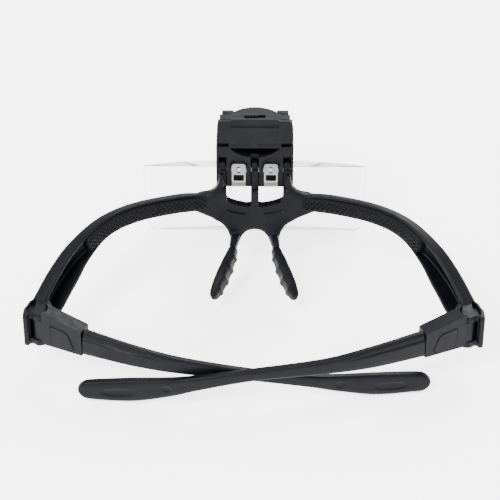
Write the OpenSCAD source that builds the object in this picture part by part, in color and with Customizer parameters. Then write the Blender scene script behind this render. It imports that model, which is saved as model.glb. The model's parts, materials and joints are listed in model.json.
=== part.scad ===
// Head visor magnifier: a wrap eyeglass frame with folding temples, and a tilting
// optic unit on three prongs that carries a clear lens, a battery box and a small lamp.
// +X is the wearer's right, +Y is forward, +Z is up. Everything is drawn about the bridge
// and then leaned forward a little, so that the model rests on z = 0 on the lens's lower
// edge and the folded temples' tips, centred on its own outline.

/* [Frame] */
// Forward lean of the whole model as it rests
rest_pitch = 5.9; // [5.5:0.1:6]
// Side step of the hinge pins from the middle
hinge_x = 69.8; // [69:0.1:70.5]
// Radius of the hinge pins
hinge_pin_r = 1.0; // [0.8:0.1:1.2]
// Width of a prong of the bridge
prong_w = 2.3; // [2:0.1:2.5]
// Radius of the cross pin that the optic unit tilts on
tilt_pin_r = 1.1; // [0.9:0.1:1.2]

/* [Temples] */
// Length of a hinge block, from its pin to the temple arm
block_len = 16.6; // [16:0.1:17]
// Depth of the release button's pocket
button_pocket = 1.7; // [1.5:0.1:1.8]
// How far a release button stands proud of its block
button_proud = 0.2; // [0:0.1:0.4]

/* [Lens] */
// Width of the lens
lens_w = 77.8; // [70:0.2:84]
// Height of the lens
lens_h = 27.2; // [26:0.1:27.5]
// Thickness of the lens at its edge
lens_edge = 0.8; // [0.6:0.1:1.2]
// Extra thickness in the middle of the lens
lens_bulge = 3.6; // [2:0.1:3.8]

/* [Optic unit] */
// Width of the carrier
carrier_w = 26; // [25.8:0.1:26.4]
// Width of the battery box
box_w = 25.2; // [24.8:0.1:25.6]
// Diameter of a coin cell
cell_d = 16; // [15:0.5:16]
// Thickness of a coin cell
cell_t = 2; // [1.6:0.1:2]
// Downward pitch of the lamp at rest
lamp_pitch = 33; // [28:1:35]

/* [Hidden] */
$fn = 64;

bridge_y = 14.753;    // from the middle of the outline to the bridge
rest_lift = 2.72;   // height of the bridge's own zero level above the table

fit = 0.05;        // radial running fit of a pin
slack = 0.15;      // gap between parts that slide or lie side by side
cut = 0.1;         // how far a cutter runs past a face

// ---- colours ----
frame_black = [0.11, 0.11, 0.13];
pad_black = [0.08, 0.08, 0.09];
case_black = [0.14, 0.14, 0.15];
steel = [0.78, 0.79, 0.80];
clear_acrylic = [0.86, 0.90, 0.94, 0.35];

// ---- brow bar: stations of the wearer's top edge, right half ----
// [x, y, z, thickness, height, channel depth, flange, lower flange overhang]
brow = [
    [10.6, 0.1, 30.4, 3.2, 6.4, 0.8, 0.7, 0],
    [16, -1, 30.5, 3.1, 6.6, 0.8, 0.7, 0],
    [26, -3, 31, 3.1, 6.7, 0.8, 0.7, 0],
    [40, -9.5, 31.8, 3.2, 6.9, 0.8, 0.7, 0],
    [50, -17, 31, 3.6, 7.4, 0.8, 0.8, 0.2],
    [58, -26, 27.5, 4.2, 9, 2.4, 1.2, 1],
    [63, -33, 23, 4.7, 9.8, 3.2, 1.4, 2],
    [67, -40, 18, 5, 9.2, 3.2, 1.4, 2.4],
    [69.4, -44.6, 15, 5, 8.6, 2.2, 1.4, 2]
];
brow_steps = 5;
pad_span = [5, 23];        // first and last step of the bar that the brow pad fills
pad_proud = 0.8;           // how far the brow pad stands out of its channel

// ---- nose piece: [x, y, z, thickness, height], right half ----
nose_leg = [
    [4.4, -0.2, 20, 3, 6],
    [5.7, -3.2, 15.6, 2.6, 4.6],
    [7.2, -7, 12, 1.6, 3],
    [9.6, -12.6, 8.2, 1.2, 2.6],
    [11.4, -16.4, 5.7, 1, 2]
];
nose_pad = [
    [6.8, -5.9, 13, 2.4, 4.2],
    [8.4, -9.6, 10.2, 3.4, 6],
    [10.6, -14.4, 6.9, 3.8, 7],
    [12.8, -18.8, 3.9, 3.4, 5.8],
    [14.1, -21.5, 2, 2.2, 3.2]
];

// ---- temple arms: [x, y, z, thickness, height] from the block to the tip ----
arm_right = [
    [54.65, -54.2, 9.55, 3.6, 9.4],
    [37.7, -61, 9.1, 3.2, 7.6],
    [22.8, -63.5, 7.3, 2.9, 5.2],
    [0, -64.7, 4.7, 2.6, 4.1],
    [-18.9, -65.1, 1.3, 2.7, 5.4],
    [-27.5, -63.6, -1.5, 2.9, 6.9],
    [-39.3, -61.4, -4.4, 3.2, 8.6],
    [-50.3, -61.2, -4.6, 3.1, 7.6],
    [-57, -61.4, -4.2, 2, 3.6]
];
arm_left = [
    [-54.65, -54.2, 9.55, 3.6, 9.4],
    [-37.7, -60.4, 8.6, 3.2, 7.5],
    [-22.9, -61.9, 6, 2.9, 5.7],
    [0, -61.3, 1.9, 2.6, 4.1],
    [19.3, -60.6, -1, 2.7, 4.7],
    [27.7, -59.4, -2.7, 2.9, 6.2],
    [40.2, -57.9, -4.2, 3.2, 8.2],
    [52.5, -56.6, -4.4, 3.1, 7.4],
    [57.8, -56.8, -4.2, 2, 3.6]
];
arm_steps = 4;

// ---- hinge ----
hinge_y = -46.7;
block_angle = 204.6;       // heading of the right block from its pin
block_rear = 2.3;          // wearer's back side of the block, from the pin's axis
block_front = -2.9;
block_z = [4.7, 18];
block_top_end = 14.3;      // top of the block where it meets the arm
knuckle_z = [6.2, 14];
knuckle_r = 2.3;
lug_r = 2.75;
lug_z = [[3.4, 6.05], [14.15, 16]];
tongue = [[9, 17.3], [-1.6, -0.4], [6.6, 12.4]];
button_s = [5.2, 13.6];
button_z = [5.7, 13.2];

// ---- bridge and prongs ----
prong_x = [-10.9, 0, 10.9];
prong_y = [2, 6.8];
prong_base = 26;
prong_top = 41.8;
tilt_y = 4.4;
tilt_z = 38;
tilt_pin_len = 25;

// ---- optic unit ----
carrier_y = 2;
carrier_z = [32.9, 47.8];
carrier_lip = 48.3;
slot_r = 4.2;
slot_top = 44.4;
smile_r = 11.4;
smile_drop = 4.3;
clip_x = 5.45;
clip_w = 4.7;
lens_y = 22;
tab_x = 6.2;
tab_w = 6;
tab_t = 2;
tab_top = 37.4;
bay_y = 8.9;
bay_r = 9.3;
bay_wall = 0.6;
cell_z = 48.9;
roof_z = [53.05, 53.55];
band_z = [51.6, 60.2];
panel_y = [-1, 0.4];
lamp_y = 22;
lamp_z = 46.6;
lamp_w = 13.6;
lamp_len = 11;
ear_x = [7.4, 11.4];
ear_r = 3.1;
screw_x = 10.8;
screw_y = 6.4;

// ---- functions ----
function unit(v) = v / norm(v);

// Point of a smooth curve through the list p, at t from station i to i + 1
function curve_at(p, i, t) =
    let (a = p[max(i - 1, 0)], b = p[i], c = p[i + 1], d = p[min(i + 2, len(p) - 1)])
    0.5 * (2 * b + (c - a) * t + (2 * a - 5 * b + 4 * c - d) * t * t
           + (3 * b - a - 3 * c + d) * t * t * t);

function curve(p, steps) = [
    for (i = [0 : len(p) - 2]) for (s = [0 : (i == len(p) - 2 ? steps : steps - 1)])
        curve_at(p, i, s / steps)
];

function xyz(q) = [q[0], q[1], q[2]];

function tangent(c, i) = unit(xyz(c[min(i + 1, len(c) - 1)]) - xyz(c[max(i - 1, 0)]));

// Level direction across the path, away from the wearer on the right half
function outward(c, i) = unit(cross([0, 0, 1], tangent(c, i)));

function upward(c, i) = cross(tangent(c, i), outward(c, i));

// Ring of a bar with bevelled edges, centred on station i
function bar_ring(c, i, grow) =
    let (o = outward(c, i), u = upward(c, i), a = c[i][3] / 2 + grow, b = c[i][4] / 2 + grow,
         k = min(a, b) * 0.5)
    [for (q = [[a, b - k], [a - k, b], [k - a, b], [-a, b - k],
               [-a, k - b], [k - a, -b], [a - k, -b], [a, k - b]])
        xyz(c[i]) + o * q[0] + u * q[1]];

// Ring of the brow bar: a channel section hung from the wearer's top edge
function channel_ring(c, i) =
    let (o = outward(c, i), u = upward(c, i), t = c[i][3], h = c[i][4], d = c[i][5],
         f = c[i][6], g = c[i][7])
    [for (q = [[0, -f], [d, -f], [d, f - h], [-g, f - h], [-g, 0.3 - h], [0.3 - g, -h],
               [t - 0.8, -h], [t, 0.8 - h], [t, -0.8], [t - 0.8, 0], [0.4, 0], [0, -0.4]])
        xyz(c[i]) + o * q[0] + u * q[1]];

// Ring of the brow pad, which fills the channel and stands out of it
function pad_ring(c, i) =
    let (o = outward(c, i), u = upward(c, i), h = c[i][4], d = c[i][5], f = c[i][6],
         e = min(1, (pad_span[1] - i) / 3 + 0.35, (i - pad_span[0]) / 3 + 0.35), mid = -h / 2,
         half = (h / 2 - f - 0.1) * e)
    [for (q = [[d - 0.1, half], [0.1 - pad_proud, half], [-pad_proud, half - 0.5],
               [-pad_proud, 0.5 - half], [0.1 - pad_proud, -half], [d - 0.1, -half]])
        xyz(c[i]) + o * q[0] + u * (q[1] + mid)];

// ---- helpers ----
// From the bridge's own axes to the leaning model
module in_place() {
    translate([0, bridge_y, rest_lift]) rotate([-rest_pitch, 0, 0]) children();
}

module mirrored(side) { mirror([side < 0 ? 1 : 0, 0, 0]) children(); }

// Solid skin over a list of rings that all have the same number of points
module skin(rings) {
    n = len(rings[0]);
    m = len(rings);
    points = [for (r = rings) for (q = r) q];
    sides = [for (j = [0 : m - 2]) for (k = [0 : n - 1])
        let (a = j * n + k, b = j * n + (k + 1) % n)
        each [[a, b + n, b], [a, a + n, b + n]]];
    caps = [[for (k = [0 : n - 1]) k], [for (k = [n - 1 : -1 : 0]) (m - 1) * n + k]];
    polyhedron(points, concat(sides, caps), convexity = 6);
}

module bar(p, steps, grow = 0) {
    c = curve(p, steps);
    skin([for (i = [0 : len(c) - 1]) bar_ring(c, i, grow)]);
}

// Box from two corners
module block(a, b) {
    translate([min(a[0], b[0]), min(a[1], b[1]), min(a[2], b[2])])
        cube([abs(b[0] - a[0]), abs(b[1] - a[1]), abs(b[2] - a[2])]);
}

// Upright cylinder between two heights
module post(x, y, z, r) { translate([x, y, z[0]]) cylinder(h = z[1] - z[0], r = r); }

// Cylinder along X, centred on x
module axle(x, y, z, r, l) { translate([x - l / 2, y, z]) rotate([0, 90, 0]) cylinder(h = l, r = r); }

// Outline given in Y and Z, extruded along X about the middle
module side_slab(outline, w) {
    translate([-w / 2, 0, 0]) rotate([90, 0, 90]) linear_extrude(w) polygon(outline);
}

// Outline given in X and Z, extruded along Y between two places
module face_slab(y) {
    translate([0, y[1], 0]) rotate([90, 0, 0]) linear_extrude(y[1] - y[0]) children();
}

// Frame of a hinge block: +X along the block, +Y to its outer face when open
module at_hinge(side) {
    mirrored(side) translate([hinge_x, hinge_y, 0]) rotate([0, 0, block_angle]) children();
}

// ---- frame ----
module brow_half() {
    c = curve(brow, brow_steps);
    skin([for (i = [0 : len(c) - 1]) channel_ring(c, i)]);
}

module bridge_outline() {
    difference() {
        polygon([[-15.4, 30.6], [-14.6, 31.4], [-12.6, 32.6],
                 [12.6, 32.6], [14.6, 31.4], [15.4, 30.6],
                 [15.2, 24.1], [12.4, 21.4], [9.2, 18.2], [7.6, 14.6], [4.6, 13.2],
                 [3.2, 15.2], [1.4, 16.3], [-1.4, 16.3], [-3.2, 15.2], [-4.6, 13.2],
                 [-7.6, 14.6], [-9.2, 18.2], [-12.4, 21.4], [-15.2, 24.1]]);
        for (s = [-1, 1])
            polygon([[s * 1.25, 34], [s * 1.25, 26], [s * 4, 26.4], [s * 9.7, 28.2], [s * 9.7, 34]]);
    }
}

module prong(x) {
    difference() {
        union() {
            block([x - prong_w / 2, prong_y[0], prong_base],
                  [x + prong_w / 2, prong_y[1], prong_top - 2.4]);
            block([x - prong_w / 2, 1, prong_base], [x + prong_w / 2, prong_y[1], 32.4]);
            axle(x, tilt_y, prong_top - 2.4, 2.4, prong_w);
        }
        axle(x, tilt_y, tilt_z, tilt_pin_r, prong_w + 2 * cut);
    }
}

module frame_end() {
    translate([0, 0, lug_z[0][0]]) linear_extrude(lug_z[1][1] - lug_z[0][0])
        polygon([[65.9, -42.4], [67.4, -38.9], [73.4, -40.6], [75.1, -45.2], [75.1, -49.2],
                 [73.4, -49.3], [73, -48], [72.3, -48.05], [71.3, -49.05], [70.2, -49.45],
                 [68.4, -49.1], [67.2, -47.8], [67, -46.2]]);
}

// Room for the hinge knuckle between the two lugs, with the bores of the hinge pin
module frame_end_cuts() {
    gap_z = [lug_z[0][1], lug_z[1][0]];
    post(hinge_x, hinge_y, gap_z, knuckle_r + 0.75);
    block([60, hinge_y - 8, gap_z[0]], [hinge_x + knuckle_r + 0.75, hinge_y, gap_z[1]]);
    block([60, hinge_y - 8, gap_z[0]], [73.3, hinge_y - 0.8, gap_z[1]]);
    block([60, hinge_y - 1, gap_z[0]], [hinge_x - 1.5, hinge_y + 2.9, gap_z[1]]);
    post(hinge_x, hinge_y, [lug_z[0][0] - 1, lug_z[1][1] + 1], hinge_pin_r);
    face_slab([-51, -38]) polygon([[71.6, 3.3], [76, 3.3], [76, 7.7]]);
    for (open = [0, 82]) difference() {
        translate([hinge_x, hinge_y, 0]) rotate([0, 0, block_angle + open])
            block([0.4, block_front - slack, 1], [8, block_rear + slack, 25]);
        post(hinge_x, hinge_y, [0, 26], lug_r + 0.1);
    }
}

module brow_frame() {
    color(frame_black) in_place() {
        difference() {
            union() {
                for (side = [-1, 1]) mirrored(side) {
                    brow_half();
                    bar(nose_leg, 3);
                    frame_end();
                }
                face_slab([-1.6, 1.8]) bridge_outline();
            }
            for (side = [-1, 1]) mirrored(side) frame_end_cuts();
        }
        for (x = prong_x) prong(x);
    }
}

module brow_pad(side) {
    c = curve(brow, brow_steps);
    color(pad_black) in_place() mirrored(side)
        skin([for (i = [pad_span[0] : pad_span[1]]) pad_ring(c, i)]);
}

module nose_pad(side) {
    color(pad_black) in_place() mirrored(side) difference() {
        bar(nose_pad, 4);
        bar(nose_leg, 3, fit);
    }
}

module hinge_pin(side) {
    color(steel) in_place() mirrored(side)
        post(hinge_x, hinge_y, [lug_z[0][0] + 0.3, lug_z[1][1] - 0.3], hinge_pin_r);
}

module tilt_pin() { color(steel) in_place() axle(0, tilt_y, tilt_z, tilt_pin_r, tilt_pin_len); }

// ---- temples ----
module button_outline(grow) {
    s0 = button_s[0] - grow;
    s1 = button_s[1] + grow;
    z0 = button_z[0] - grow;
    z1 = button_z[1] + grow;
    polygon([[s0, z0 + 2.6], [s0 + 1.6, z0], [s1 - 1, z0], [s1, z0 + 1],
             [s1 - 2, z1 - 1.6], [s1 - 3, z1 - 0.8], [s0 + 0.4, z1], [s0, z1 - 0.6]]);
}

module hinge_block(side) {
    top_slope = (block_z[1] - block_top_end) / block_len;
    color(frame_black) in_place() at_hinge(side) difference() {
        union() {
            difference() {
                face_slab([block_front, block_rear])
                    polygon([[0, block_z[0]], [block_len, block_z[0]], [block_len, block_top_end],
                             [0, block_z[1]]]);
                translate([0, 0, -1]) cylinder(h = 25, r = lug_r + 0.25);
                block([-5, -5, 0], [0.6, 5, 25]);
            }
            post(0, 0, knuckle_z, knuckle_r);
            block([0, -knuckle_r, knuckle_z[0]], [4, knuckle_r, knuckle_z[1]]);
        }
        post(0, 0, [0, 25], hinge_pin_r + fit);
        face_slab([block_rear - button_pocket, block_rear + cut]) button_outline(slack);
        block([6.5, 0, 7], [12, 0.7, 12]);
        block([tongue[0][0] - slack, tongue[1][0] - slack, tongue[2][0] - slack],
              [block_len + cut, tongue[1][1] + slack, tongue[2][1] + slack]);
    }
}

module temple_arm(side) {
    color(frame_black) in_place() {
        bar(side > 0 ? arm_right : [for (i = [len(arm_left) - 1 : -1 : 0]) arm_left[i]], arm_steps);
        at_hinge(side) block([tongue[0][0], tongue[1][0], tongue[2][0]],
                             [tongue[0][1] + 0.6, tongue[1][1], tongue[2][1]]);
    }
}

module latch_spring(side) {
    color(steel) in_place() at_hinge(side) {
        block([6.7, 0.08, 7.6], [11.8, 0.3, 11.4]);
        block([8.6, 0.3, 8.6], [9.8, 0.55, 10.4]);
    }
}

module release_button(side) {
    color(case_black) in_place() at_hinge(side)
        face_slab([block_rear - 0.75, block_rear + button_proud]) button_outline(0);
}

// ---- optic unit ----
module carrier() {
    w = carrier_w;
    color(case_black) in_place() difference() {
        union() {
            side_slab([[carrier_y, carrier_z[0]], [carrier_y, carrier_lip], [3.1, carrier_lip],
                       [3.1, carrier_z[1]], [16.4, carrier_z[1]], [18.2, 44], [19.4, 42.2],
                       [22.4, 41.2], [27.2, 38.2], [27.2, 28.4], [7.8, 28.4],
                       [7.8, carrier_z[0]]], w);
            for (s = [-1, 1]) translate([s * (ear_x[0] + ear_x[1]) / 2, 0, 0]) {
                axle(0, lamp_y, lamp_z, ear_r, ear_x[1] - ear_x[0]);
                side_slab([[lamp_y - ear_r, lamp_z], [lamp_y - ear_r, 41], [lamp_y + ear_r, 38.6],
                           [lamp_y + ear_r, lamp_z]], ear_x[1] - ear_x[0]);
            }
        }
        for (x = prong_x) {
            slot_w = prong_w + 0.4;
            axle(x, tilt_y, tilt_z, slot_r, slot_w);
            block([x - slot_w / 2, carrier_y - cut, carrier_z[0] - cut],
                  [x + slot_w / 2, tilt_y + slot_r, tilt_z]);
            block([x - slot_w / 2, carrier_y - cut, tilt_z], [x + slot_w / 2, tilt_y, slot_top]);
        }
        axle(0, tilt_y, tilt_z, tilt_pin_r + fit, w + 2 * cut);
        translate([0, 8, carrier_lip + smile_r - smile_drop]) rotate([90, 0, 0])
            cylinder(h = 8, r = smile_r);
        for (s = [-1, 1]) {
            block([s * (clip_x - 2.55), carrier_y - cut, carrier_z[0] - cut],
                  [s * (clip_x + 2.55), 7.4, 41.7]);
            translate([s * clip_x, carrier_y + 1, 41]) rotate([90, 0, 0]) cylinder(h = 2, r = 3);
            block([s * (tab_x - tab_w / 2 - slack), lens_y - slack, 28],
                  [s * (tab_x + tab_w / 2 + slack), lens_y + tab_t + slack, tab_top + 0.3]);
            post(s * screw_x, screw_y, [41.5, 49], 0.8);
        }
        block([-8.8, 9.6, 35.5], [8.8, 14, carrier_z[1] + cut]);
        axle(0, lamp_y, lamp_z, 0.9, w);
    }
}

module spring_clip(side) {
    color(steel) in_place() mirrored(side) translate([clip_x, 0, 0]) difference() {
        union() {
            side_slab([[1.3, 32.7], [2.3, 32.7], [2.65, 33.4], [2.65, 41], [3.2, 41.2], [5.9, 41.2],
                       [5.9, 39.6], [5.53, 38.4], [5.53, 37.6], [6.2, 34.6], [6.6, 34.8],
                       [5.95, 37.7], [5.95, 38.3], [6.3, 39.4], [6.3, 41.6], [3, 41.6],
                       [2.2, 41.3], [2.2, 33.7], [1.3, 33.1]], clip_w);
        }
        face_slab([1.2, 2.8]) translate([-1.75, 34.5]) square([3.5, 2.4]);
        face_slab([5, 7]) translate([-0.95, 34]) square([1.9, 5.4]);
        face_slab([1.2, 7]) union() {
            translate([0, 39.3]) circle(r = 0.85);
            polygon([[-0.8, 39.1], [0.8, 39.1], [0.45, 37.5], [-0.45, 37.5]]);
            for (s = [-1, 1])
                polygon([[s * 2.5, 42], [s * 1.4, 42], [s * 1.5, 41.5], [s * 2.36, 40.6], [s * 2.5, 40]]);
        }
    }
}

module bay_outline(r) {
    translate([0, bay_y]) circle(r = r);
    translate([-r, panel_y[1] - 2]) square([2 * r, bay_y - panel_y[1] + 2]);
}

module battery_box() {
    y0 = panel_y[1] + slack;
    color(case_black) in_place() difference() {
        union() {
            side_slab([[y0, band_z[0] + 0.1], [y0, band_z[1]], [3.4, band_z[1]], [4.6, 59.3],
                       [8.4, roof_z[1]], [8.4, band_z[0] + 0.1]], box_w - 1.8);
            side_slab([[y0, band_z[0] + 0.1], [y0, 55], [6, 55], [8.4, roof_z[1]],
                       [11, roof_z[1]], [11, 48], [3.3, 48], [3.3, band_z[0] + 0.1]], box_w);
            translate([0, 0, 48]) linear_extrude(roof_z[1] - 48) difference() {
                translate([0, bay_y]) circle(r = bay_r + bay_wall);
                translate([-20, -10]) square([40, 20]);
            }
        }
        translate([0, 0, 48.7]) linear_extrude(roof_z[0] - 48.7) bay_outline(bay_r);
        block([-10.8, 1.3, 54.5], [10.8, 4, 59]);
        block([-3.5, 1.5, 58], [3.5, 3.1, 61]);
        for (s = [-1, 1]) {
            post(s * screw_x, screw_y, [47, 61], 0.85);
            post(s * screw_x, screw_y, [roof_z[1] - 1, 62], 1.45);
        }
        block([-2.1, 5, 48.4], [2.1, 14, 48.8]);
    }
}

module case_screws() {
    color(steel) in_place() for (s = [-1, 1]) difference() {
        union() {
            post(s * screw_x, screw_y, [42.2, roof_z[1] - 0.9], 0.75);
            post(s * screw_x, screw_y, [roof_z[1] - 0.95, roof_z[1] - 0.05], 1.35);
        }
        for (a = [0, 90]) translate([s * screw_x, screw_y, roof_z[1]]) rotate([0, 0, a])
            cube([1.7, 0.4, 1], center = true);
    }
}

module contact_positive() {
    color([0.85, 0.72, 0.42]) in_place() translate([0, 0, 49.4]) linear_extrude(2.8)
        intersection() {
            translate([0, bay_y]) difference() {
                circle(r = bay_r - 0.05);
                circle(r = bay_r - 0.3);
            }
            translate([-3, bay_y + 4]) square([6, 8]);
        }
}

module contact_negative() {
    color([0.85, 0.72, 0.42]) in_place() block([-2, 5.1, 48.45], [2, 13.9, 48.75]);
}

module driver_board() { color([0.1, 0.35, 0.2]) in_place() block([-10.4, 3.2, 54.7], [10.4, 3.9, 57.8]); }

module switch_body() { color(case_black) in_place() block([-4, 1.45, 54.8], [4, 3.1, 57.4]); }

module switch_slider() {
    color(case_black) in_place() difference() {
        block([-3.35, 1.65, 57.6], [1.25, 2.95, 61]);
        for (i = [0 : 3]) block([-2.8 + i, 1.5, 60.7], [-2.4 + i, 3.1, 61.1]);
    }
}

module battery_drawer() {
    color(case_black) in_place() {
        face_slab(panel_y)
            polygon([[-12.55, band_z[0]], [12.55, band_z[0]], [12.3, 59.6], [11.8, band_z[1]],
                     [8.2, band_z[1]], [7.6, 60.8], [-7.6, 60.8], [-8.2, band_z[1]],
                     [-11.8, band_z[1]], [-12.3, 59.6]]);
        face_slab([panel_y[0] - 0.5, panel_y[0]])
            polygon([[-6, 52.3], [6, 52.3], [8, 58.2], [-8, 58.2]]);
        translate([0, 0, 48.85]) linear_extrude(3.5) difference() {
            union() {
                translate([0, bay_y]) circle(r = cell_d / 2 + 0.75);
                translate([-8.75, 0.2]) square([17.5, bay_y - 0.2]);
            }
            translate([0, bay_y]) circle(r = cell_d / 2 + 0.1);
            translate([-6, 10]) square([12, 12]);
        }
    }
}

module coin_cell(i) {
    color(steel) in_place() post(0, bay_y, [cell_z + i * cell_t, cell_z + (i + 1) * cell_t], cell_d / 2);
}

module magnifier_lens() {
    lens_r = (pow(lens_w / 2, 2) + pow(lens_bulge, 2)) / (2 * lens_bulge);
    half = lens_w / 2;
    color(clear_acrylic) in_place() {
        intersection() {
            translate([0, lens_y + lens_edge + lens_bulge - lens_r, 0])
                cylinder(h = lens_h, r = lens_r, $fn = 720);
            face_slab([lens_y, lens_y + 8])
                polygon([[-half, lens_h], [half, lens_h], [half, 14], [half - 1.6, 1.4],
                         [half - 3, 0], [3 - half, 0], [1.6 - half, 1.4], [-half, 14]]);
        }
        for (s = [-1, 1])
            block([s * (tab_x - tab_w / 2), lens_y, lens_h - 1], [s * (tab_x + tab_w / 2),
                  lens_y + tab_t, tab_top]);
    }
}

// ---- lamp: +Y runs along the lamp from its pivot ----
module at_lamp() {
    in_place() translate([0, lamp_y, lamp_z]) rotate([-lamp_pitch, 0, 0]) children();
}

module lamp_shell() {
    color(case_black) at_lamp() difference() {
        union() {
            axle(0, 0, 0, 2.9, lamp_w);
            side_slab([[0, -2.9], [lamp_len, -2.1], [lamp_len, 2.3], [0, 2.9]], lamp_w);
        }
        axle(0, 0, 0, 0.9 + fit, lamp_w + 1);
        block([-5.6, 3.2, -1.5], [5.6, lamp_len + cut, 1.6]);
    }
}

module lamp_window() { color(clear_acrylic) at_lamp() block([-5.5, 10.1, -1.4], [5.5, 10.9, 1.5]); }

module lamp_leds() {
    color([0.95, 0.9, 0.6]) at_lamp() for (s = [-1, 1]) translate([s * 2.7, 4.6, 0])
        rotate([-90, 0, 0]) {
            cylinder(h = 3.6, r = 1.3);
            translate([0, 0, 3.6]) sphere(r = 1.3);
        }
}

module lamp_board() { color([0.1, 0.35, 0.2]) at_lamp() block([-5.4, 3.4, -1.4], [5.4, 4.4, 1.5]); }

module lamp_pin() { color(steel) in_place() axle(0, lamp_y, lamp_z, 0.9, 2 * ear_x[1] - 0.4); }

brow_frame();
brow_pad(-1);  // brow_pad_left
brow_pad(1);  // brow_pad_right
nose_pad(-1);  // nose_pad_left
nose_pad(1);  // nose_pad_right
tilt_pin();
hinge_pin(-1);  // hinge_pin_left
hinge_pin(1);  // hinge_pin_right
hinge_block(-1);  // hinge_block_left
hinge_block(1);  // hinge_block_right
temple_arm(-1);  // temple_arm_left
temple_arm(1);  // temple_arm_right
latch_spring(-1);  // latch_spring_left
latch_spring(1);  // latch_spring_right
release_button(-1);  // release_button_left
release_button(1);  // release_button_right
carrier();
spring_clip(-1);  // spring_clip_left
spring_clip(1);  // spring_clip_right
battery_box();
case_screws();
contact_positive();
contact_negative();
driver_board();
switch_body();
switch_slider();
battery_drawer();
coin_cell(0);  // coin_cell_lower
coin_cell(1);  // coin_cell_upper
magnifier_lens();
lamp_pin();
lamp_shell();
lamp_window();
lamp_leds();
lamp_board();
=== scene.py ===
# The looks of the head visor magnifier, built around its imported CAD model.
# Shapes are drawn in millimetres about the bridge, as the wearer sees it (+X right, +Y forward,
# +Z up), and place() carries them into the leaning model.
import json
import math

import bmesh
import bpy
import numpy as np
from mathutils import Matrix, Vector


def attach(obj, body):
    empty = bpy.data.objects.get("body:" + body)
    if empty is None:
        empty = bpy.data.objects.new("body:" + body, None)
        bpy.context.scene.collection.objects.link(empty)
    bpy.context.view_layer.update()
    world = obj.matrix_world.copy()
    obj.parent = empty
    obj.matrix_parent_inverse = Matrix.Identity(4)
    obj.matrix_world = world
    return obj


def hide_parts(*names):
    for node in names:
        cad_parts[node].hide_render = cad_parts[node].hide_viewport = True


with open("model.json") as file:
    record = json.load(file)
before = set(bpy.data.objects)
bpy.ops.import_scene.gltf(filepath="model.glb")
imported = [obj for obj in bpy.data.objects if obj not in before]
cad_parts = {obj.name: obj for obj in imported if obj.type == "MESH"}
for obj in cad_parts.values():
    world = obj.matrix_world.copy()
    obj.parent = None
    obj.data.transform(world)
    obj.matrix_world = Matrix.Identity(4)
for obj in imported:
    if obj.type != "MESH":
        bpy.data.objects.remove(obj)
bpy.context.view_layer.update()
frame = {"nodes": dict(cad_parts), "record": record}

MM = 0.001
HINGE = (69.8, -46.7, 10.1)      # middle of the right hinge's gap
TILT_PIN = Vector((0, 4.4, 38))
joints = {j["name"]: j for j in frame["record"]["behaviour"]["joints"]}

# ---- from the bridge's axes to the row frame ----
hinge_axis = joints["right_temple_fold"]["axis"]
LEAN = math.atan2(hinge_axis[1], hinge_axis[2])
TURN = Matrix.Rotation(-LEAN, 3, "X")
ORIGIN = Vector(joints["optic_tilt"]["pos_m"]) / MM - TURN @ TILT_PIN


def place(p):
    """Points in the bridge's millimetres to metres in the row frame."""
    return (np.asarray(p, float) @ np.array(TURN).T + np.array(ORIGIN)) * MM


# ---- mesh helpers ----
def new_mesh(name, points, faces):
    mesh = bpy.data.meshes.new(name)
    mesh.from_pydata([tuple(p) for p in place(points)], [], faces)
    b = bmesh.new()
    b.from_mesh(mesh)
    bmesh.ops.recalc_face_normals(b, faces=b.faces)
    b.to_mesh(mesh)
    b.free()
    obj = bpy.data.objects.new(name, mesh)
    bpy.context.scene.collection.objects.link(obj)
    return obj


def settle(obj, sharp=30):
    """Applies the modifiers and sets smooth shading with sharp edges past an angle."""
    graph = bpy.context.evaluated_depsgraph_get()
    mesh = bpy.data.meshes.new_from_object(obj.evaluated_get(graph))
    obj.modifiers.clear()
    old, obj.data = obj.data, mesh
    bpy.data.meshes.remove(old)
    for p in mesh.polygons:
        p.use_smooth = True
    mesh.set_sharp_from_angle(angle=math.radians(sharp))
    return obj


def remesh(obj, voxel, rounds=0):
    """Joins overlapping shells into one closed mesh, and softens it a little if asked."""
    m = obj.modifiers.new("join", "REMESH")
    m.mode = "VOXEL"
    m.voxel_size = voxel * MM
    if rounds:
        soften = obj.modifiers.new("soften", "SMOOTH")
        soften.factor = 0.5
        soften.iterations = rounds
    return settle(obj)


def combine(obj, other, operation):
    """Joins (UNION) or cuts (DIFFERENCE) another closed mesh, which is used up."""
    m = obj.modifiers.new("combine", "BOOLEAN")
    m.operation = operation
    m.solver = "MANIFOLD"
    m.object = other
    settle(obj)
    bpy.data.objects.remove(other)


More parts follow.
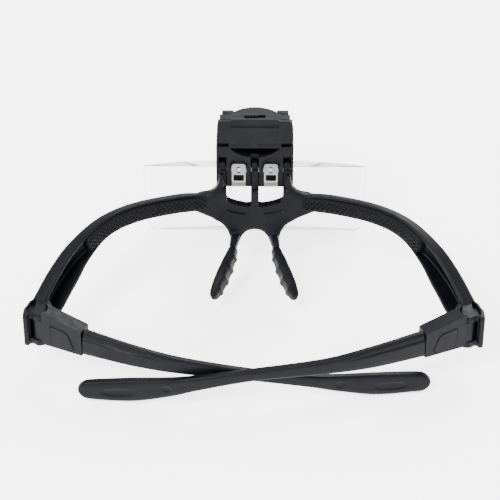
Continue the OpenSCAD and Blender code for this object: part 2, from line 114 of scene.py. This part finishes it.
class Shells:
    """Closed shells gathered into one mesh."""

    def __init__(self):
        self.points = []
        self.faces = []

    def add(self, points, faces):
        base = len(self.points)
        self.points += [tuple(p) for p in points]
        self.faces += [tuple(i + base for i in f) for f in faces]

    def rings(self, rings):
        n, m = len(rings[0]), len(rings)
        faces = [(j * n + k, j * n + (k + 1) % n, (j + 1) * n + (k + 1) % n, (j + 1) * n + k)
                 for j in range(m - 1) for k in range(n)]
        faces += [tuple(range(n))[::-1], tuple(range((m - 1) * n, m * n))]
        self.add(np.concatenate(rings), faces)

    def prism(self, outline, axis, low, high):
        """An outline in the two other axes, in X, Y, Z order, from low to high along axis."""
        ring = np.insert(np.asarray(outline, float), axis, low, 1)
        far = ring.copy()
        far[:, axis] = high
        self.rings([ring, far])

    def box(self, a, b):
        a, b = np.minimum(a, b), np.maximum(a, b)
        self.prism([(a[0], a[1]), (b[0], a[1]), (b[0], b[1]), (a[0], b[1])], 2, a[2], b[2])

    def rod(self, centre, axis, radius, length, count=40):
        t = np.linspace(0, 2 * math.pi, count, endpoint=False)
        other = [i for i in range(3) if i != axis]
        outline = np.stack([centre[other[0]] + radius * np.cos(t),
                            centre[other[1]] + radius * np.sin(t)], 1)
        self.prism(outline, axis, centre[axis] - length / 2, centre[axis] + length / 2)

    def mirrored(self, other):
        self.add([(-x, y, z) for x, y, z in other.points], other.faces)

    def make(self, name):
        return new_mesh(name, np.array(self.points), self.faces)


def curve(stations, steps):
    """A smooth curve through the stations, as part.scad draws it."""
    p = np.asarray(stations, float)
    out = []
    for i in range(len(p) - 1):
        a, b, c, d = p[max(i - 1, 0)], p[i], p[i + 1], p[min(i + 2, len(p) - 1)]
        for t in np.linspace(0, 1, steps, endpoint=False):
            out.append(0.5 * (2 * b + (c - a) * t + (2 * a - 5 * b + 4 * c - d) * t * t
                              + (3 * b - a - 3 * c + d) * t ** 3))
    return np.array(out + [p[-1]])


def axes(c):
    """Tangent, level outward and upward directions along a curve."""
    tangent = np.gradient(c[:, :3], axis=0)
    tangent /= np.linalg.norm(tangent, axis=1)[:, None]
    out = np.cross([0, 0, 1], tangent)
    out /= np.linalg.norm(out, axis=1)[:, None]
    return out, np.cross(tangent, out)


def along(c):
    """Distance along a curve at each of its points."""
    step = np.linalg.norm(np.diff(c[:, :3], axis=0), axis=1)
    return np.concatenate([[0], np.cumsum(step)])


def smoothstep(x, a, b):
    t = np.clip((x - a) / (b - a), 0, 1)
    return t * t * (3 - 2 * t)


def rounded(a, b, power, count):
    """A rounded rectangle section, half width a and half height b."""
    t = np.linspace(0, 2 * math.pi, count, endpoint=False)
    return np.stack([a * np.sign(np.cos(t)) * np.abs(np.cos(t)) ** power,
                     b * np.sign(np.sin(t)) * np.abs(np.sin(t)) ** power], 1)


# ---- the frame: x, y, z, thickness, height, channel depth, flange, lower flange ----
BROW = [
    [10.6, 0.1, 30.4, 3.2, 6.4, 0.8, 0.7, 0],
    [16, -1, 30.5, 3.1, 6.6, 0.8, 0.7, 0],
    [26, -3, 31, 3.1, 6.7, 0.8, 0.7, 0],
    [40, -9.5, 31.8, 3.2, 6.9, 0.8, 0.7, 0],
    [50, -17, 31, 3.6, 7.4, 0.8, 0.8, 0.2],
    [58, -26, 27.5, 4.2, 9, 2.4, 1.2, 1],
    [63, -33, 23, 4.7, 9.8, 3.2, 1.4, 2],
    [67, -40, 18, 5, 9.2, 3.2, 1.4, 2.4],
    [69.4, -44.6, 15, 5, 8.6, 2.2, 1.4, 2],
]
NOSE_LEG = [
    [6.4, 0, 13.2, 3.4, 4.6], [7, -3.2, 12.8, 3, 4.4], [8, -7, 11, 2, 3.6],
    [10.2, -12.6, 8, 1.4, 2.8], [11.8, -16.4, 5.7, 1.2, 2.2],
]
NOSE_PAD = [
    [6.8, -5.9, 13, 2.4, 4.2], [8.4, -9.6, 10.2, 3.4, 6], [10.6, -14.4, 6.9, 3.8, 7],
    [12.8, -18.8, 3.9, 3.4, 5.8], [14.1, -21.5, 2, 2.2, 3.2],
]
PRONGS = (-10.9, 0, 10.9)        # where the prongs stand across the bridge
PRONG_W = 2.3
PRONG_BACK, PRONG_FRONT = 1, 6.8
PRONG_FOOT = 26
PRONG_EYE = (4.4, 39.4)          # y and z of the prong's round top
PRONG_EYE_R = 2.4
PLATE = (-1.3, 1.7)              # back and front of the plate between the brow bars
FRAME_END = (3.4, 16)            # bottom and top of the frame's ends
HINGE_GAP = (6.05, 14.15)        # bottom and top of the gap that takes a hinge block
HINGE_R = 3.05
POCKET_FLOOR = 14.6
FRAME_VOXEL = 0.3
CUTTER_VOXEL = 0.15


def sweep(c, out, up, i, section):
    """A section's points, set square to a curve at its point i."""
    return c[i, :3] + np.outer(section[:, 0], out[i]) + np.outer(section[:, 1], up[i])


def brow_half(shells):
    """The right brow bar: a band with a channel for the pad along its back."""
    c = curve(BROW, 14)
    out, up = axes(c)
    rings = []
    for i, (t, h, d, f, g) in enumerate(c[:, 3:]):
        section = [(0, -f), (d, -f), (d, f - h), (-g, f - h), (-g, 0.3 - h), (0.3 - g, -h),
                   (t - 1.1, -h), (t - 0.3, 0.3 - h), (t, 1.1 - h), (t + 0.15, -h / 2), (t, -1.1),
                   (t - 0.3, -0.3), (t - 1.1, 0), (0.4, 0), (0, -0.4)]
        rings.append(sweep(c, out, up, i, np.array(section)))
    shells.rings(rings)


def bar(shells, stations, steps):
    """A rounded bar through stations of x, y, z, width and height."""
    c = curve(stations, steps)
    out, up = axes(c)
    shells.rings([sweep(c, out, up, i, rounded(c[i, 3] / 2, c[i, 4] / 2, 0.7, 28))
                  for i in range(len(c))])


def frame_end(shells):
    """The block at the right end of the brow, outlined as seen from above."""
    shells.prism([(65.9, -42.4), (67.4, -38.9), (73.4, -40.6), (75.1, -45.2), (75.1, -49.2),
                  (73.4, -49.3), (73, -48), (72.3, -48.05), (71.3, -49.05), (70.2, -49.45),
                  (68.4, -49.1), (67.2, -47.8), (67, -46.2)], 2, *FRAME_END)


def frame_end_cuts(shells):
    """Room for the hinge block, folded and open, and the pocket behind the outer wall."""
    low, high = HINGE_GAP
    shells.rod(HINGE, 2, HINGE_R, high - low)
    for near, far in (((60, -54.7), (72.85, -46.7)), ((60, -54.7), (73.3, -47.5)),
                      ((60, -47.7), (68.3, -43.8))):
        shells.box((*near, low), (*far, high))
    shells.prism([(71.2, -40.6), (72.6, -41), (73.9, -45), (73.9, -47.6), (72, -47.2),
                  (71.2, -43.8)], 2, POCKET_FLOOR, 22)


def bridge(shells):
    """The plate between the brow bars: its outline on the right, from the top down to the arch."""
    side = curve([(12.6, 32.4, 0), (15.5, 30.3, 0), (20, 29.6, 0), (21, 25, 0), (18, 22.9, 0),
                  (14.2, 20.8, 0), (10.4, 17.8, 0), (8.6, 13.6, 0), (7.9, 10.4, 0), (6.6, 8.9, 0),
                  (5.6, 10.6, 0), (4.6, 13.2, 0), (2.6, 15.7, 0), (0, 16.6, 0)], 6)[:, :2]
    outline = np.concatenate([side, side[-2::-1] * (-1, 1)])
    shells.prism(outline, 1, *PLATE)


def bridge_windows(shells):
    """The two openings over the plate, right through it."""
    for s in (-1, 1):
        shells.prism([(s * 1.3, 36), (s * 1.3, 26.3), (s * 3, 26.2), (s * 6, 26.9), (s * 8.8, 28),
                      (s * 9.6, 28.6), (s * 9.6, 36)], 1, -4, 8)


def prongs(shells):
    for x in PRONGS:
        shells.box((x - PRONG_W / 2, PRONG_BACK, PRONG_FOOT),
                   (x + PRONG_W / 2, PRONG_FRONT, PRONG_EYE[1]))
        shells.rod((x, *PRONG_EYE), 0, PRONG_EYE_R, PRONG_W)


def flares(shells):
    """Curved gussets that carry the brow bars' top up into the outer prongs."""
    top = curve([(12.1, 38.6, 0), (12.3, 35.6, 0), (13.2, 33, 0), (15.2, 31.2, 0),
                 (19, 30.4, 0)], 6)[:, :2]
    outline = np.concatenate([top, [(19, 27.5), (10.6, 27), (10.6, 38.6)]])
    for s in (-1, 1):
        shells.prism(outline * (s, 1), 1, -0.6, 2.4)


def ledges(shells):
    """Two shallow raised lines under the windows."""
    for s in (-1, 1):
        bar(shells, [(s * 9.6, -1.2, 24.5, 1, 0.8), (s * 6.4, -1.3, 23.5, 1, 0.8),
                     (s * 3.2, -1.3, 22.9, 1, 0.8)], 6)


def make_frame():
    half = Shells()
    brow_half(half)
    bar(half, NOSE_LEG, 8)
    frame_end(half)
    body = Shells()
    body.add(half.points, half.faces)
    body.mirrored(half)
    bridge(body)
    prongs(body)
    flares(body)
    obj = body.make("frame_moulding")
    remesh(obj, FRAME_VOXEL, 3)
    melt(obj)
    lines = Shells()
    ledges(lines)
    combine(obj, lines.make("ledges"), "UNION")
    cuts = Shells()
    frame_end_cuts(cuts)
    both = Shells()
    both.add(cuts.points, cuts.faces)
    both.mirrored(cuts)
    bridge_windows(both)
    combine(obj, remesh(both.make("pockets"), CUTTER_VOXEL), "DIFFERENCE")
    return obj


def melt(obj):
    """Smooths the joins at the bridge fully and those at the hinges by half, like fillets."""
    co = np.empty(len(obj.data.vertices) * 3)
    obj.data.vertices.foreach_get("co", co)
    x, _, z = ((co.reshape(-1, 3) / MM - np.array(ORIGIN)) @ np.array(TURN)).T
    middle = (1 - smoothstep(np.abs(x), 19, 23)) * (1 - smoothstep(z, 33, 37))
    weight = np.maximum(middle * smoothstep(z, 8, 12), 0.5 * smoothstep(np.abs(x), 63, 68))
    group = obj.vertex_groups.new(name="melt")
    for i in np.nonzero(weight > 0.02)[0]:
        group.add([int(i)], float(weight[i]), "REPLACE")
    m = obj.modifiers.new("melt", "SMOOTH")
    m.factor = 0.6
    m.iterations = 30
    m.vertex_group = "melt"
    settle(obj)


# ---- materials ----
def material(name, base, roughness, metallic=0.0, **extra):
    mat = bpy.data.materials.new(name)
    mat.use_nodes = True
    tree = mat.node_tree
    shader = tree.nodes["Principled BSDF"]
    shader.inputs["Base Color"].default_value = (*base, 1)
    shader.inputs["Roughness"].default_value = roughness
    shader.inputs["Metallic"].default_value = metallic
    for key, value in extra.items():
        shader.inputs[key.replace("_", " ")].default_value = value
    return mat, tree, shader


def noise_node(tree, scale, detail=3.0):
    where = tree.nodes.new("ShaderNodeTexCoord")
    node = tree.nodes.new("ShaderNodeTexNoise")
    node.inputs["Scale"].default_value = scale
    node.inputs["Detail"].default_value = detail
    tree.links.new(where.outputs["Object"], node.inputs["Vector"])
    return node


def ramp_node(tree, source, low, high):
    """A ramp between two colours over the middle of a noise's range."""
    ramp = tree.nodes.new("ShaderNodeValToRGB")
    ramp.color_ramp.elements[0].position = 0.3
    ramp.color_ramp.elements[1].position = 0.7
    ramp.color_ramp.elements[0].color = (*low, 1)
    ramp.color_ramp.elements[1].color = (*high, 1)
    tree.links.new(source.outputs["Fac"], ramp.inputs["Fac"])
    return ramp


def bumped(tree, shader, height, strength, distance):
    node = tree.nodes.new("ShaderNodeBump")
    node.inputs["Strength"].default_value = strength
    node.inputs["Distance"].default_value = distance * MM
    tree.links.new(height.outputs["Fac"], node.inputs["Height"])
    tree.links.new(node.outputs["Normal"], shader.inputs["Normal"])


def moulded(name, low, high, rough_low, rough_high, grain=2600, bump=0.25):
    """Moulded plastic or rubber: uneven colour and gloss, and a fine grain."""
    mat, tree, shader = material(name, low, rough_low, Specular_IOR_Level=0.085)
    cloud = noise_node(tree, 180, 4)
    tree.links.new(ramp_node(tree, cloud, low, high).outputs["Color"], shader.inputs["Base Color"])
    gloss = ramp_node(tree, noise_node(tree, 420, 5), (rough_low,) * 3, (rough_high,) * 3)
    tree.links.new(gloss.outputs["Color"], shader.inputs["Roughness"])
    bumped(tree, shader, noise_node(tree, grain, 2), bump, 0.06)
    return mat


def metal(name, colour, roughness, scratches):
    """Bare metal with fine unevenness in its gloss and surface."""
    mat, tree, shader = material(name, colour, roughness, metallic=1.0)
    gloss = ramp_node(tree, noise_node(tree, scratches, 6), (roughness * 0.7,) * 3,
                      (roughness * 1.6,) * 3)
    tree.links.new(gloss.outputs["Color"], shader.inputs["Roughness"])
    bumped(tree, shader, noise_node(tree, scratches * 2, 3), 0.08, 0.03)
    return mat


def clear(name, colour, ior):
    """Clear plastic, nearly smooth."""
    mat, tree, shader = material(name, colour, 0.03, Transmission_Weight=1.0, IOR=ior)
    gloss = ramp_node(tree, noise_node(tree, 90, 4), (0.015,) * 3, (0.05,) * 3)
    tree.links.new(gloss.outputs["Color"], shader.inputs["Roughness"])
    return mat


def make_materials():
    """One material for each slot name that the record gives its nodes."""
    return {
        "frame_plastic": moulded("frame_plastic", (0.0012, 0.0013, 0.0024),
                                 (0.0028, 0.003, 0.0046), 0.36, 0.5),
        "pad_rubber": moulded("pad_rubber", (0.001, 0.0011, 0.002),
                              (0.0024, 0.0026, 0.004), 0.42, 0.6, 1800),
        "case_plastic": moulded("case_plastic", (0.002, 0.0021, 0.003),
                                (0.0042, 0.0044, 0.0058), 0.4, 0.54, 2200, 0.4),
        "spring_steel": metal("spring_steel", (0.2, 0.2, 0.205), 0.2, 700),
        "pin_steel": metal("pin_steel", (0.55, 0.55, 0.56), 0.3, 900),
        "contact_brass": metal("contact_brass", (0.76, 0.58, 0.28), 0.25, 800),
        "cell_steel": metal("cell_steel", (0.68, 0.68, 0.69), 0.28, 600),
        "circuit_board": moulded("circuit_board", (0.01, 0.09, 0.035), (0.015, 0.12, 0.05),
                                 0.3, 0.4),
        "lens_acrylic": clear("lens_acrylic", (0.975, 0.98, 0.985), 1.49),
        "led_epoxy": clear("led_epoxy", (0.98, 0.95, 0.8), 1.5),
    }


# ---- the soft pads and the temples ----
FINE = 60              # points between two stations of a fine curve
KNURL_PITCH = 1.75
PAD_CLEARANCE = 0.12   # between the brow pad's edges and the channel's lips
BUMP_PITCH = 4.3       # between the bumps along a nose pad's inner edge
PAD_ROUND = 1.6        # length of a nose pad's rounded end


def knurl(s, v):
    """Height of a diamond knurl, 0 in its grooves and 1 on its points."""
    a = np.abs(((s + v) / KNURL_PITCH) % 1 - 0.5) * 2
    b = np.abs(((s - v) / KNURL_PITCH) % 1 - 0.5) * 2
    return np.minimum(np.minimum(a, b) * 2.2, 1)


def make_brow_pad(side):
    """The pad in the brow bar's channel, with a diamond grip on its face."""
    c = curve(BROW, FINE)[FINE:round(4.75 * FINE)]
    out, up = axes(c)
    s = along(c)
    rings = []
    for i in range(len(c)):
        h, d, f = c[i, 4:7]
        end = min(s[i], s[-1] - s[i])
        swell = min(end / 2.2, 1)
        half = (h / 2 - f - PAD_CLEARANCE) * (0.45 + 0.55 * math.sqrt(swell * (2 - swell)))
        v = np.linspace(half, -half, 44)
        edge = smoothstep(half - np.abs(v), 0, 0.7) * smoothstep(end, 0, 0.8)
        depth = 0.35 - 0.8 * np.sqrt(np.clip(edge, 0, 1)) - 0.42 * knurl(s[i], v) * edge
        front = np.stack([depth, v - h / 2], 1)
        back = [(d - 0.1, -half - h / 2), (d - 0.1, half - h / 2)]
        section = np.concatenate([front, back])
        rings.append(sweep(c, out, up, i, section))
    shells = Shells()
    shells.rings([r * (side, 1, 1) for r in rings])
    return settle(shells.make("knurled_brow_pad_" + ("right" if side > 0 else "left")), 50)


def make_nose_pad(side):
    """A soft pad with bumps along its inner edge and a shallow panel on its outer face."""
    c = curve(NOSE_PAD, 16)
    out, up = axes(c)
    s = along(c)
    rings = []
    for i in range(len(c)):
        end = min(s[i], s[-1] - s[i], PAD_ROUND) / PAD_ROUND
        round_end = math.sqrt(max(1 - (1 - end) ** 2, 0.02))
        section = rounded(c[i, 3] / 2 * round_end, c[i, 4] / 2 * round_end, 0.62, 56)
        wave = max(0, math.cos(2 * math.pi * (s[i] - 4) / BUMP_PITCH))
        bump = wave * round_end * smoothstep(s[i], 2, 4)
        reach = np.clip(-section[:, 0] / c[i, 3] + 0.5, 0, 1)
        section[:, 0] -= 0.5 * bump * reach
        panel = (section[:, 0] > 0) & (np.abs(section[:, 1]) < c[i, 4] * 0.3 * round_end)
        section[panel, 0] -= 0.22
        rings.append(sweep(c, out, up, i, section))
    shells = Shells()
    shells.rings([r * (side, 1, 1) for r in rings])
    return settle(shells.make("soft_nose_pad_" + ("right" if side > 0 else "left")), 50)


# ---- the temple arms, from the hinge block to the tip: x, y, z, thickness, height ----
ARM_RIGHT = [
    [54.65, -54.2, 9.55, 3.6, 9.4], [37.7, -61, 9.1, 3.2, 7.6], [22.8, -63.5, 7.3, 2.9, 5.2],
    [0, -64.7, 4.7, 2.6, 4.1], [-18.9, -65.1, 1.3, 2.7, 5.4], [-27.5, -63.6, -1.5, 2.9, 6.9],
    [-39.3, -61.4, -4.4, 3.2, 8.6], [-50.3, -61.2, -4.6, 3.1, 7.6], [-57, -61.4, -4.2, 2.6, 6.2],
]
ARM_LEFT = [
    [-54.65, -54.2, 9.55, 3.6, 9.4], [-37.7, -60.4, 8.6, 3.2, 7.5], [-22.9, -61.9, 6, 2.9, 5.7],
    [0, -61.3, 1.9, 2.6, 4.1], [19.3, -60.6, -1, 2.7, 4.7], [27.7, -59.4, -2.7, 2.9, 6.2],
    [40.2, -57.9, -4.2, 3.2, 8.2], [52.5, -56.6, -4.4, 3.1, 7.4], [57.8, -56.8, -4.2, 2.6, 6.2],
]
ARM_ROUND = 3.4                        # length of an arm's rounded end
OVAL, OVAL_REACH = 13, (6.2, 1.55)     # the oval mark: from the tip, and its half sizes
DIMPLE, DIMPLE_REACH = 30, (1.5, 1.3)  # the round dimple, likewise
TONGUE = 2                             # how far an arm reaches into its hinge block


def make_arm(name, stations):
    """A temple arm with an oval mark, a dimple and a bevel on the side towards the back."""
    c = curve(stations, FINE)
    out, up = axes(c)
    s = along(c)
    left = s[-1] - s
    rear_side = -1 if out[len(c) // 2, 1] > 0 else 1
    rings = []
    for i in range(len(c)):
        tip = math.sqrt(max(1 - (1 - min(left[i], ARM_ROUND) / ARM_ROUND) ** 2, 0.001))
        b = c[i, 4] / 2 * tip
        a = c[i, 3] / 2 * (0.35 + 0.65 * tip)
        section = rounded(a, b, 0.5, 120)
        rear = section[:, 0] * rear_side > 0
        height = section[rear, 1]
        oval = ((left[i] - OVAL) / OVAL_REACH[0]) ** 2 + ((height + 0.2) / OVAL_REACH[1]) ** 2
        dot = ((left[i] - DIMPLE) / DIMPLE_REACH[0]) ** 2 + (height / DIMPLE_REACH[1]) ** 2
        bevel = smoothstep(height / max(b, 0.1), 0.42, 0.5) * (1 - smoothstep(s[i], 14, 30))
        dent = (0.28 * (1 - smoothstep(oval, 0.72, 1.1)) + 0.3 * (1 - smoothstep(dot, 0.5, 1.2))
                + 0.5 * bevel)
        section[rear, 0] -= dent * rear_side
        rings.append(sweep(c, out, up, i, section))
    root = rings[0].mean(0)
    tongue = root + (rings[0] - root) * 0.6
    inward = (rings[0] - rings[4]).mean(0)
    inward *= TONGUE / np.linalg.norm(inward)
    shells = Shells()
    shells.rings([tongue + inward, tongue] + rings)
    return settle(shells.make(name), 40)


# ---- the scene ----
materials = make_materials()
replaced = set()


def stand_in(obj, body, node, slot_name):
    """Puts a Blender mesh in a CAD node's place on its body."""
    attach(obj, body)
    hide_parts(node)
    obj.data.materials.clear()
    obj.data.materials.append(materials[slot_name])
    replaced.add(node)


stand_in(make_frame(), "frame", "brow_frame", "frame_plastic")
for side, word in ((-1, "left"), (1, "right")):
    stand_in(make_brow_pad(side), "frame", "brow_pad_" + word, "pad_rubber")
    stand_in(make_nose_pad(side), "frame", "nose_pad_" + word, "pad_rubber")
stand_in(make_arm("moulded_arm_right", ARM_RIGHT), "right_temple", "temple_arm_right", "frame_plastic")
stand_in(make_arm("moulded_arm_left", ARM_LEFT), "left_temple", "temple_arm_left", "frame_plastic")

SLOT_OF = {s["node"]: s["material_slot"] for s in frame["record"]["subparts"]}
EDGE = 0.22            # width of the rounding along most CAD edges
THIN_EDGE = {"spring_steel": 0.08, "circuit_board": 0.05, "led_epoxy": 0.05, "contact_brass": 0.04}
WELD_GAP = 0.002


def dress(obj, slot_name):
    """Gives a CAD node its material and slightly rounded edges."""
    if not obj.material_slots:
        obj.data.materials.append(None)
    for slot in obj.material_slots:
        slot.material = materials[slot_name]
    weld = obj.modifiers.new("weld", "WELD")
    weld.merge_threshold = WELD_GAP * MM
    bevel = obj.modifiers.new("edges", "BEVEL")
    bevel.width = THIN_EDGE.get(slot_name, EDGE) * MM
    bevel.segments = 3
    bevel.limit_method = "ANGLE"
    bevel.angle_limit = math.radians(35)


for node, obj in frame["nodes"].items():
    if node not in replaced:
        dress(obj, SLOT_OF[node])

# ---- floor, light and camera ----
FLOOR_WHITE = 0.95
FLOOR_GLOW = 2
FLOOR_HALF = 3.0       # metres
WORLD_STRENGTH = 2.6
PHOTO_SIDE = 500       # pixels
PHOTO_SCALE = 3.0      # pixels to a millimetre at the camera's aim


def make_floor():
    corners = [(x * FLOOR_HALF, y * FLOOR_HALF, 0) for x, y in ((-1, -1), (1, -1), (1, 1), (-1, 1))]
    mesh = bpy.data.meshes.new("floor")
    mesh.from_pydata(corners, [], [(0, 1, 2, 3)])
    floor = bpy.data.objects.new("floor", mesh)
    bpy.context.scene.collection.objects.link(floor)
    mat, _, shader = material("floor_white", (FLOOR_WHITE,) * 3, 0.9)
    shader.inputs["Specular IOR Level"].default_value = 0.1
    shader.inputs["Emission Color"].default_value = (1, 1, 1, 1)
    shader.inputs["Emission Strength"].default_value = FLOOR_GLOW
    floor.data.materials.append(mat)


def make_light(name, where, size, power):
    """A round lamp that points at the object."""
    lamp = bpy.data.lights.new(name, "AREA")
    lamp.shape = "DISK"
    lamp.size = size
    lamp.energy = power
    obj = bpy.data.objects.new(name, lamp)
    obj.location = where
    obj.rotation_euler = (Vector((0, 0, 0.02)) - Vector(where)).to_track_quat("-Z", "Y").to_euler()
    bpy.context.scene.collection.objects.link(obj)


def make_camera():
    """Seen from behind and above, as the wearer would pick it up."""
    elevation, azimuth, distance = math.radians(36), math.radians(0.5), 680
    aim = Vector((-1.43, -20.6, 22.1))
    back = Vector((math.sin(azimuth) * math.cos(elevation),
                   -math.cos(azimuth) * math.cos(elevation), math.sin(elevation)))
    right = Vector((math.cos(azimuth), math.sin(azimuth), 0))
    up = back.cross(right)
    turn = TURN @ Matrix((right, up, back)).transposed()
    camera = bpy.data.cameras.new("camera")
    camera.sensor_width = 36
    camera.lens = PHOTO_SCALE * distance / PHOTO_SIDE * camera.sensor_width
    camera.clip_end = 20
    obj = bpy.data.objects.new("camera", camera)
    obj.matrix_world = Matrix.Translation(Vector(place(aim + back * distance))) @ turn.to_4x4()
    bpy.context.scene.collection.objects.link(obj)
    bpy.context.scene.camera = obj


make_floor()
make_light("key", (-0.5, -0.6, 1.1), 0.5, 26)
make_light("rim", (0.3, 0.9, 0.8), 0.5, 16)
make_camera()
world = bpy.data.worlds.new("studio")
world.use_nodes = True
world.node_tree.nodes["Background"].inputs["Color"].default_value = (1, 1, 1, 1)
world.node_tree.nodes["Background"].inputs["Strength"].default_value = WORLD_STRENGTH
bpy.context.scene.world = world
